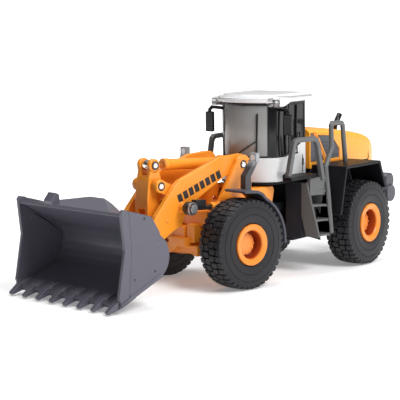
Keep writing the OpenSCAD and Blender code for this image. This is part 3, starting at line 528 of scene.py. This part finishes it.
# Half section of the carcass, from the bead to the middle, as (radius, across)
SIDEWALL = [
    (8.42, 5.3), (8.8, 6.0), (9.5, 6.26), (11.9, 6.3), (12.05, 6.1), (12.25, 6.1), (12.4, 6.3),
    (14.6, 6.26), (14.9, 6.18), (15.0, 5.98), (15.2, 5.98), (15.3, 6.12), (16.5, 5.98),
    (17.3, 5.65), (17.85, 5.05), (17.9, 4.5), (17.3, 3.7), (17.0, 2.3),
]
# Tread blocks on one side of the middle, as (turn in pitches, across); they alternate
BLOCKS = (
    (
        [(-0.45, 0.2), (0, -0.35), (0.45, 0.2), (0.45, 2.4), (0.05, 2.9), (-0.45, 2.2)],
        [(-0.43, 2.75), (0.06, 3.4), (0.43, 2.95), (0.43, 4.85), (-0.43, 4.85)],
    ),
    (
        [(-0.45, 0.55), (0.1, 0.1), (0.45, 0.55), (0.43, 3.15), (-0.1, 3.6), (-0.43, 2.95)],
        [(-0.43, 3.45), (-0.06, 4.1), (0.43, 3.7), (0.43, 4.85), (-0.43, 4.85)],
    ),
)
SHOULDER = [(-0.39, 4.4), (0.39, 4.4), (0.39, 5.3), (0.3, 5.85), (-0.3, 5.85), (-0.39, 5.3)]


def crown(across):
    """Radius of the tread's top, a little less towards its edges."""
    return TYRE_R - 0.02 - CROWN_DROP * (abs(across) / CROWN_REACH) ** 2.6


def tread_block(outline, middle, side):
    """A block round the tyre at `middle` pitches, its top drawn in a little all round."""
    n = len(outline)
    mid = Vector((sum(p[0] for p in outline) / n, sum(p[1] for p in outline) / n))
    points = []
    for inset, level in ((0.0, 0.0), (0.0, 0.8), (0.1, 1.0)):
        for turn, across in outline:
            turn += (mid.x - turn) * inset
            across += (mid.y - across) * inset
            foot = SHOULDER_FOOT if across > 5 else BLOCK_FOOT
            r = foot + (crown(across) - foot) * level
            t = (middle + turn * side) * (2 * math.pi / PITCHES)
            points.append((r * math.cos(t), across * side, r * math.sin(t)))
    return points, ring_faces(3, n) + [tuple(range(2 * n, 3 * n)), tuple(range(n - 1, -1, -1))]


def tyre_shape():
    """Sidewalls with two fine rings, and zigzag tread blocks between shoulder lugs."""
    shape = Shape()
    profile = SIDEWALL + [(17.0, 0)] + [(r, -w) for r, w in reversed(SIDEWALL)]
    shape.add(*lathe(profile, TYRE_SIDES, ring=True))
    for k in range(PITCHES):
        for side in (-1, 1):
            middle = k + (0.5 if side > 0 else 0)
            for outline in BLOCKS[k % 2] + (SHOULDER,):
                shape.add(*tread_block(outline, middle, side))
    return shape


HUB_PROFILE = [(4.42, 1.5), (4.45, 2.35), (4.3, 2.52), (1.2, 2.6), (0.0, 2.6)]
BOLTS = 12
BOLT_CIRCLE_R = 3.75
BOLT_R = 0.4


def hub_shape():
    """Plate in the rim's dish, with a ring of bolt heads near its edge."""
    shape = Shape()
    shape.add(*lathe(HUB_PROFILE, 48))
    for k in range(BOLTS):
        t = 2 * math.pi * k / BOLTS
        centre = (BOLT_CIRCLE_R * math.cos(t), BOLT_CIRCLE_R * math.sin(t))
        shape.disc(centre, BOLT_R, 2.4, 2.95, sides=8)
    return shape


tyre = tyre_shape()
hub = hub_shape()
WHEELS = (
    ("rear_axle_spin", REAR, 1, "rear_tyre_left", "rear_axle"),
    ("rear_axle_spin", REAR, -1, "rear_tyre_right", "rear_axle"),
    ("front_axle_spin", FRONT, 1, "front_tyre_left", "front_axle"),
    ("front_axle_spin", FRONT, -1, "front_tyre_right", "front_axle"),
)
for joint, half, side, node, body in WHEELS:
    place = wheel_place(joint, half, side)
    tread = tyre.piece(node + "_tread", place, RUBBER, body, "tyre", sharp=28)
    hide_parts(node)
    hub.piece(node + "_hub", place, HUB, body, "orange_paint", sharp=30)

# Rims: a flat ring round a deep dish, one piece for both wheels of an axle
RIM_PROFILE = [
    (1.2, -4.6), (3.4, -4.6), (3.4, -2.0), (7.0, -2.0), (7.0, -5.9), (8.38, -5.9), (8.38, 6.4),
    (8.2, 6.62), (7.9, 6.72), (6.5, 6.3), (6.05, 6.12), (5.75, 5.7), (5.6, 1.4), (4.3, 1.4),
    (4.3, 2.2), (1.2, 2.2),
]
AXLES = (
    ("rear_rims", REAR, -WHEEL_X, REAR_RIM, "rear_axle"),
    ("front_rims", FRONT, WHEEL_X, FRONT_RIM, "front_axle"),
)
rim_points, rim_faces = lathe(RIM_PROFILE, 96, ring=True)
for node, half, ahead, material, body in AXLES:
    pair = Shape()
    for side in (1, -1):
        outwards = [(x, side * (y + WHEEL_Y), z) for x, y, z in rim_points]
        pair.add(outwards, rim_faces, at=(ahead, TYRE_R))
    rims = pair.piece(node + "_dish", half, material, body, "orange_paint", sharp=30)
    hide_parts(node)

# ---- Hood -----------------------------------------------------------------------

# Ridge line (ahead, up) and half plan (ahead, left) of the hood, from the steering pin
HOOD_TOP = [
    (-14.6, 60.9), (-22, 60.6), (-30, 60.1), (-39, 59.1), (-47, 57.9), (-54, 57.0), (-60, 55.9),
    (-64, 55.0), (-67, 54.1), (-69.6, 53.0), (-71.4, 51.7), (-72.8, 49.9), (-73.8, 47.2),
    (-74.5, 44.0), (-75, 38.6),
]
HOOD_PLAN = [
    (-14.6, 13.6), (-58, 13.6), (-62, 13.45), (-66, 13.1), (-69.6, 12.4), (-72.2, 11.5),
    (-74, 10.5), (-75, 9.6),
]
HOOD_Y = 13.6
HOOD_SILL = 43.4
TAIL_SILL = 38.5
TAIL_START = -66.2
HOOD_ROUND_Y = 3.4
HOOD_ROUND_Z = 2.7
HOOD_CROWN = 0.35


def between(table, x):
    """Value at x in a table of (x, value) whose x falls from row to row."""
    for (x0, v0), (x1, v1) in zip(table, table[1:]):
        if x1 <= x <= x0:
            return v0 + (v1 - v0) * (x - x0) / (x1 - x0)
    return table[-1][1]


def hood_section(x, top, sill):
    """Half outline of the hood across the machine, then its mirror image."""
    edge = between(HOOD_PLAN, x)
    half = [(edge, sill)]
    height = top - sill
    rz = min(HOOD_ROUND_Z, height * 0.8)
    for i in range(9):
        t = math.pi / 2 * i / 8
        y = edge - HOOD_ROUND_Y + HOOD_ROUND_Y * math.cos(t)
        z = top - HOOD_CROWN - rz + rz * math.sin(t)
        half.append((y, z))
    half.append((5.0, top - HOOD_CROWN / 5))
    half.append((0.0, top))
    return [(x, y, z) for y, z in half] + [(x, -y, z) for y, z in reversed(half[:-1])]


def hood_shape():
    """Sections from the cab to the tail, with a step where the deeper tail starts."""
    at = between(HOOD_TOP, TAIL_START)
    rows = [hood_section(x, top, HOOD_SILL) for x, top in HOOD_TOP if x > TAIL_START]
    rows.append(hood_section(TAIL_START, at, HOOD_SILL))
    rows.append(hood_section(TAIL_START - 0.01, at, TAIL_SILL))
    for x, top in HOOD_TOP:
        if x < TAIL_START:
            rows.append(hood_section(x, max(top, TAIL_SILL + 0.05), TAIL_SILL))
    return tunnel(rows)


def carve(obj, cutters):
    """Cuts solids out of an object for good."""
    for cutter in cutters:
        cut = obj.modifiers.new("cut", "BOOLEAN")
        cut.operation = "DIFFERENCE"
        cut.solver = "EXACT"
        cut.object = cutter
    bpy.context.view_layer.update()
    shown = bpy.context.evaluated_depsgraph_get()
    data = bpy.data.meshes.new_from_object(obj.evaluated_get(shown))
    obj.modifiers.clear()
    obj.data = data
    for cutter in cutters:
        bpy.data.objects.remove(cutter)


# Sunken fields of the hood's side, as (ahead, up)
GRILLE = [(-15.4, 46.2), (-15.4, 58.6), (-17.2, 58.6), (-26.4, 46.2)]
VENT = [(-29.6, 46.4), (-21.8, 57.4), (-33, 56.4), (-39.2, 50.4), (-39.2, 46.4)]
FIELD_DEPTH = 0.6
hood = solid("hood_cover", *hood_shape(), REAR, sharp=30)
dress(hood, HOOD)
carve(hood, [
    solid("cutter", *prism(outline, HOOD_Y - FIELD_DEPTH, HOOD_Y + 1), on_side(REAR, side))
    for side in SIDES
    for outline in (GRILLE, VENT)
])
for polygon in hood.data.polygons:
    polygon.use_smooth = True
soften(hood, 0.18, angle=30)
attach(hood, "rear_frame")
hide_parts("engine_hood")

# Folded creases on the sides of the hood's tail, as (ahead, up) of their ends; they carry a
# painted highlight.
CREASES = (((-51.4, 54.6), (-53.2, 43.9)), ((-57.2, 53.2), (-64.4, 43.9)))
CREASE_HALF = 0.28

creases = Shape()
for (x0, z0), (x1, z1) in CREASES:
    rows = []
    for i in range(9):
        t = i / 8
        x, z = x0 + (x1 - x0) * t, z0 + (z1 - z0) * t
        y = between(HOOD_PLAN, x)
        foot = y - 0.1
        rows.append([(x - CREASE_HALF, foot, z), (x, y + 0.07, z), (x + CREASE_HALF, foot, z)])
    creases.add(*tunnel(rows))
for side, word in SIDES.items():
    creases.piece("hood_creases_" + word, on_side(REAR, side), CREASE_HIGHLIGHT, "rear_frame", "hood_paint")


def clip(polygon, outline):
    """Part of a polygon inside a convex outline."""
    edges = list(zip(outline, outline[1:] + outline[:1]))
    sign = 1 if sum(a[0] * b[1] - b[0] * a[1] for a, b in edges) > 0 else -1

    def depth(p, a, b):
        return sign * ((b[0] - a[0]) * (p[1] - a[1]) - (b[1] - a[1]) * (p[0] - a[0]))

    for a, b in edges:
        kept = []
        for p, q in zip(polygon, polygon[1:] + polygon[:1]):
            dp, dq = depth(p, a, b), depth(q, a, b)
            if dp >= 0:
                kept.append(p)
            if dp * dq < 0:
                f = dp / (dp - dq)
                kept.append((p[0] + (q[0] - p[0]) * f, p[1] + (q[1] - p[1]) * f))
        polygon = kept
        if len(polygon) < 3:
            return []
    return polygon


WIRE_FIELD = [(-15.7, 46.5), (-15.7, 58.3), (-17.05, 58.3), (-25.8, 46.5)]
WIRES = 34
WIRE_START = -46
WIRE_GAP = 1.15
WIRE_WIDTH = 0.42
WIRE_DEPTH = 0.12
WIRE_LAYERS = {1: 13.36, -1: 13.42}
BAR_WIDTH = 0.75
BAR_Y = 13.4


def slanted(foot, head, width):
    """Outline of a bar between two points (ahead, up), with a width along the machine."""
    return [foot, (foot[0] + width, foot[1]), (head[0] + width, head[1]), head]


def grille_mesh():
    """Crossed wires that fill the sunken field between the cab and the vent."""
    shape = Shape()
    low, high = 45, 60
    reach = high - low
    for lean, level in WIRE_LAYERS.items():
        for i in range(WIRES):
            x = WIRE_START + i * WIRE_GAP
            foot, head = (x, x + reach) if lean > 0 else (x + reach, x)
            wire = clip(slanted((foot, low), (head, high), WIRE_WIDTH), WIRE_FIELD)
            if wire:
                shape.add(*prism(wire, level, level + WIRE_DEPTH))
    return shape


def vent_bars():
    """Two raised bars between the sunken fields, and the rim of the vent."""
    shape = Shape()
    for head, foot in (((-17.9, 59.0), (-27.5, 45.7)), ((-19.5, 59.0), (-28.9, 45.9))):
        shape.add(*prism(slanted(head, foot, BAR_WIDTH), BAR_Y, BAR_Y + 0.45))
    sill = [(-27.8, 45.2), (-39.9, 45.2), (-39.9, 45.8), (-28.2, 45.8)]
    post = [(-39.9, 45.5), (-39.4, 45.5), (-39.4, 50.5), (-39.9, 50.7)]
    for outline in (sill, post):
        shape.add(*prism(outline, BAR_Y, BAR_Y + 0.35))
    return shape


wires, bars = grille_mesh(), vent_bars()
for side, word in SIDES.items():
    place = on_side(REAR, side)
    wires.piece("grille_wires_" + word, place, WIRE, "rear_frame", "grey_plastic")
    bars.piece("hood_bars_" + word, place, ORANGE, "rear_frame", "hood_paint", bevel=0.12)

# ---- Cab details ------------------------------------------------------------------

CAB_SIDE = 13.98
DOOR_FOOT = 51.2
DOOR_HEIGHT = 20.6


def door_trim():
    """Edges of the door and of the corner post, bowed a little, the door's sill and its handle."""
    shape = Shape()
    for x, bow in ((9.6, 0.5), (4.6, 0.7), (-3.6, 0.3)):
        path = [
            (x + bow * math.sin(math.pi * i / 8), CAB_SIDE, DOOR_FOOT + DOOR_HEIGHT * i / 8)
            for i in range(9)
        ]
        shape.add(*tube(path, 0.42, sides=10, bend=0.1, steps=1))
    shape.add(*tube([(-4.2, CAB_SIDE, 51.3), (9, CAB_SIDE, 51.3)], 0.34, sides=10))
    handle = [(-5.6, 14.05, 55), (-5.6, 14.3, 56), (-5.6, 14.3, 59), (-5.6, 14.05, 60)]
    shape.add(*tube(handle, 0.3))
    return shape


def door_gap():
    """Dark slot in the cab's lower shell, with a latch across it."""
    shape = Shape()
    shape.box((-8.5, 13.7, 42.7), (-7.9, 14.06, 50.3))
    shape.box((-8.9, 13.7, 45.6), (-7.7, 14.16, 48.8))
    return shape


def mirror_glass():
    """Glass on the back of a door mirror."""
    shape = Shape()
    shape.box((11.2, 18.5, 60.9), (11.34, 21.3, 68.1))
    return shape


trim, gap, glass = door_trim(), door_gap(), mirror_glass()
for side, word in SIDES.items():
    place = on_side(REAR, side)
    trim.piece("door_trim_" + word, place, GLOSS_BLACK, "rear_frame", "black_plastic", sharp=60)
    gap.piece("door_gap_" + word, place, BLACK, "rear_frame", "black_plastic", bevel=0.08)
    glass.piece("mirror_glass_" + word, place, STEEL, "rear_frame", "black_plastic", bevel=0.05)

# ---- Pins and arms ----------------------------------------------------------------

# Name, place (ahead, up), distance of the end from the middle plane, and body of each pin
PIN_ENDS = (
    ("arm_pivot", (25.1, 48.8), 12.95, "front_frame"),
    ("crank_pivot", (65.7, 42.7), 7.7, "lift_arms"),
    ("crank_top", (66.0, 50.9), 4.55, "bellcrank"),
)
PIN_R = 1.25
LIFT_EYE = (57.5, 33.8)


def washer(r0, r1, y0, y1, at):
    """A flat ring round an axis along Y, its outer face chamfered."""
    shape = Shape()
    ring = [(r0, y0), (r1, y0), (r1, y1 - 0.06), (r1 - 0.1, y1), (r0 + 0.06, y1), (r0, y1 - 0.06)]
    shape.add(*lathe(ring, 40, ring=True), at=at)
    return shape


def button(profile, count, at):
    """A low domed disc round an axis along Y."""
    shape = Shape()
    shape.add(*lathe(profile, count), at=at)
    return shape


for name, at, face, body in PIN_ENDS:
    ring = washer(PIN_R - 0.02, PIN_R + 0.42, face - 0.35, face + 0.1, at)
    dome = [
        (0.0, face + 0.22), (0.7, face + 0.2), (PIN_R - 0.22, face + 0.1),
        (PIN_R - 0.12, face - 0.2),
    ]
    cap = button(dome, 40, at)
    for side, word in SIDES.items():
        place = on_side(FRONT, side)
        ring.piece(name + "_ring_" + word, place, GUNMETAL, body, "black_plastic")
        cap.piece(name + "_cap_" + word, place, PIN_FACE, body, "steel", sharp=50)

# Bright faces of the eyes at the ends of the lift rods
eye = washer(2.12, 2.62, 16.6, 17.14, LIFT_EYE)
for side, word in SIDES.items():
    eye.piece("lift_eye_face_" + word, on_side(FRONT, side), DARK_STEEL, "lift_rods", "steel")

ARM_FACE = 10.5
DASHES = 8
DASH_FOOT, DASH_HEAD = Vector((59.1, 35.7)), Vector((34.9, 44.4))
DASH_RISE = Vector((1.25, 3.1))
STUD_AT = (65.4, 29.2)
STUD_PROFILE = [
    (0.0, ARM_FACE + 0.5), (0.5, ARM_FACE + 0.44), (0.85, ARM_FACE + 0.2), (0.95, ARM_FACE - 0.1),
]


def arm_dashes():
    """Plain slanted dashes along the outer face of an arm."""
    shape = Shape()
    along = (DASH_HEAD - DASH_FOOT) / DASHES
    for i in range(DASHES):
        a = DASH_FOOT + along * (i + 0.06)
        b = DASH_FOOT + along * (i + 0.80)
        outline = [tuple(a), tuple(b), tuple(b + DASH_RISE), tuple(a + DASH_RISE)]
        shape.add(*prism(outline, ARM_FACE - 0.02, ARM_FACE + 0.035))
    return shape


dashes = arm_dashes()
stud = button(STUD_PROFILE, 28, STUD_AT)
for side, word in SIDES.items():
    place = on_side(FRONT, side)
    dashes.piece("arm_dashes_" + word, place, STRIPE, "lift_arms", "black_plastic")
    stud.piece("arm_stud_" + word, place, ORANGE, "lift_arms", "orange_paint", sharp=60)

# ---- Bucket details ---------------------------------------------------------------

PLATE_Y = 32.3
BEAD_Y = 31.0
BACK_R = 8.35
BACK_X, BACK_Z = 16.4, 7.4


def foot_strip():
    """Wear strip along the foot of the side plate."""
    shape = Shape()
    outline = [(14.2, -2.25), (33.2, -2.25), (32.6, -0.7), (14.6, -0.7)]
    shape.add(*prism(outline, PLATE_Y - 0.2, PLATE_Y + 0.25))
    return shape


def weld_bead():
    """Bead inside, where the side plate meets the bucket's rounded back and its floor."""
    shape = Shape()
    turns = [math.radians(144 + 126 * i / 24) for i in range(25)]
    back = [(BACK_X + BACK_R * math.cos(t), BEAD_Y, BACK_Z + BACK_R * math.sin(t)) for t in turns]
    path = [(21.3, BEAD_Y, 26.8)] + back + [(30.5, BEAD_Y, -0.95)]
    shape.add(*tube(path, 0.32, sides=8, bend=0.1, steps=1))
    return shape


strip, bead = foot_strip(), weld_bead()
for side, word in SIDES.items():
    place = on_side(BUCKET, side)
    strip.piece("bucket_foot_strip_" + word, place, SLATE, "bucket", "bucket_paint", bevel=0.12)
    bead.piece("bucket_bead_" + word, place, SLATE, "bucket", "bucket_paint", sharp=70)

# ---- Floor, light and camera -------------------------------------------------------

FLOOR_REACH = 40.0
WHITE_LIGHT = (1, 1, 1, 1)
FILL_FROM = (-0.62, 0.62, 0.48)


def floor_finish():
    """Pale floor that turns evenly white away from the object."""
    mat = bpy.data.materials.new("floor")
    net = Nodes(mat)
    shader = net.tree.nodes["Principled BSDF"]
    shader.inputs["Base Color"].default_value = (0.86, 0.86, 0.865, 1)
    shader.inputs["Roughness"].default_value = 0.75
    shader.inputs["Specular IOR Level"].default_value = 0.2
    shader.inputs["Emission Color"].default_value = WHITE_LIGHT
    where = net.make("ShaderNodeTexCoord").outputs["Object"]
    far = net.make("ShaderNodeVectorMath", operation="LENGTH")
    net.link(where, far.inputs[0])
    glow = net.spread(far.outputs["Value"], (0.08, 0.45), (0.22, 0.9), "SMOOTHSTEP")
    net.link(glow, shader.inputs["Emission Strength"])
    return mat


def studio_world():
    """Fill light from the machine's left and from above, so that its nose stays in shade."""
    studio = bpy.data.worlds.new("studio")
    net = Nodes(studio)
    backdrop = net.tree.nodes["Background"]
    backdrop.inputs["Color"].default_value = WHITE_LIGHT
    where = net.make("ShaderNodeTexCoord").outputs["Generated"]
    towards = net.dot(where, FILL_FROM)
    strength = net.spread(towards, (-0.6, 1.0), (0.06, 0.55), "SMOOTHSTEP")
    net.link(strength, backdrop.inputs["Strength"])
    return studio


corners = [(-1, -1), (1, -1), (1, 1), (-1, 1)]
floor_data = bpy.data.meshes.new("floor")
floor_data.from_pydata([(x * FLOOR_REACH, y * FLOOR_REACH, 0) for x, y in corners], [],
                       [(0, 1, 2, 3)])
floor_data.materials.append(floor_finish())
floor = bpy.data.objects.new("floor", floor_data)
scene = bpy.context.scene
scene.collection.objects.link(floor)
floor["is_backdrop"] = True
scene.view_settings.view_transform = "Standard"
scene.world = studio_world()


MIDDLE = Vector((0, 0, 0.035))


def area_light(name, at, size, watts):
    """A round light aimed at the machine's middle; places and sizes in metres."""
    data = bpy.data.lights.new(name, "AREA")
    data.shape = "DISK"
    data.size = size
    data.energy = watts
    obj = bpy.data.objects.new(name, data)
    obj.location = at
    obj.rotation_euler = (MIDDLE - Vector(at)).to_track_quat("-Z", "Y").to_euler()
    scene.collection.objects.link(obj)


area_light("key", (0.15, 0.75, 0.75), size=0.5, watts=9)
area_light("top", (-0.1, -0.15, 1.0), size=0.7, watts=6.5)

# The photo's viewpoint and lens, fitted to points of the machine
EYE = REAR @ Vector((582.7, 384.8, 118.8))
AZIMUTH = math.radians(125.73)
ELEVATION = math.radians(7.184)
ROLL = math.radians(-0.618)
LENS = 147.3
back = Vector((
    math.sin(AZIMUTH) * math.cos(ELEVATION),
    -math.cos(AZIMUTH) * math.cos(ELEVATION),
    math.sin(ELEVATION),
))
right = (-back).cross(UP).normalized()
above = right.cross(-back)
tilted_right = right * math.cos(ROLL) + above * math.sin(ROLL)
tilted_up = above * math.cos(ROLL) - right * math.sin(ROLL)
camera_data = bpy.data.cameras.new("camera")
camera_data.lens = LENS
camera_data.sensor_width = 36
camera_data.clip_start = 0.01
camera = bpy.data.objects.new("camera", camera_data)
camera.matrix_world = (
    Matrix.Translation(EYE) @ Matrix((tilted_right, tilted_up, back)).transposed().to_4x4()
)
scene.collection.objects.link(camera)
scene.camera = camera


def plain(value):
    """Bounds as plain lists and numbers."""
    if isinstance(value, dict):
        return {k: plain(v) for k, v in value.items()}
    if isinstance(value, (int, float, str)) or value is None:
        return value
    return [plain(v) for v in value]


{"cad": plain(cad_bounds), "visual": plain(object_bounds())}
